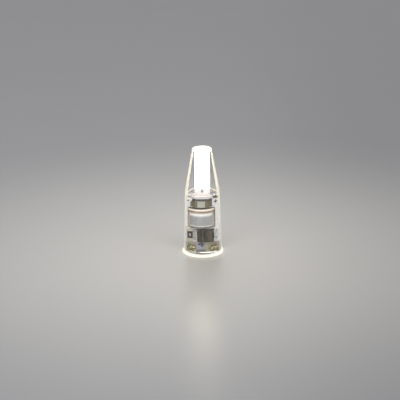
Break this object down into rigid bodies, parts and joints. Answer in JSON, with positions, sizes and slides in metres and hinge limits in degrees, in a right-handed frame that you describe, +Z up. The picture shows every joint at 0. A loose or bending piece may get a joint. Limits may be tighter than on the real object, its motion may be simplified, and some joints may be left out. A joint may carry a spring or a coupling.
{
  "type": "led capsule bulb",
  "caption": "Clear capsule bulb on a foot of round pins: a straight, filled lower body shows its driver board, and a hollow tapered top holds an upright light strip.",
  "frame": {"origin": "centre of the foot plane, midway between the two pins", "axes": "+Z up the bulb's axis to its roof, X along the driver board from pin to pin, -Y to the front that shows the rectifier"},
  "size_m": [0.012, 0.012, 0.0387],
  "materials": {
    "clear_plastic": "gloss",
    "clear_silicone": "gloss",
    "white_board": "satin",
    "strip_ceramic": "matte",
    "phosphor": "matte",
    "solder": "satin",
    "tinned_copper": "satin",
    "black_moulding": "satin",
    "white_ceramic": "matte",
    "black_glaze": "gloss",
    "pale_ceramic": "satin",
    "can_aluminium": "satin",
    "sleeve": "gloss",
    "bung_rubber": "matte",
    "pin_metal": "satin"
  },
  "bodies": {
    "root": {"clear_cover": "clear_plastic", "potting": "clear_silicone", "driver_board": "white_board", "board_pads": "tinned_copper", "light_strip": "strip_ceramic", "front_phosphor": "phosphor", "back_phosphor": "phosphor", "strip_joints": "solder", "rectifier_body": "black_moulding", "rectifier_leads": "tinned_copper", "resistor_body": "white_ceramic", "resistor_glaze": "black_glaze", "resistor_ends": "tinned_copper", "ceramic_body": "pale_ceramic", "ceramic_ends": "tinned_copper", "chip_joints": "solder", "capacitor_can": "can_aluminium", "capacitor_sleeve": "sleeve", "capacitor_bung": "bung_rubber", "capacitor_wires": "tinned_copper", "capacitor_joints": "solder", "left_pin": "pin_metal", "right_pin": "pin_metal", "pin_joints": "solder"}
  },
  "joints": []
}
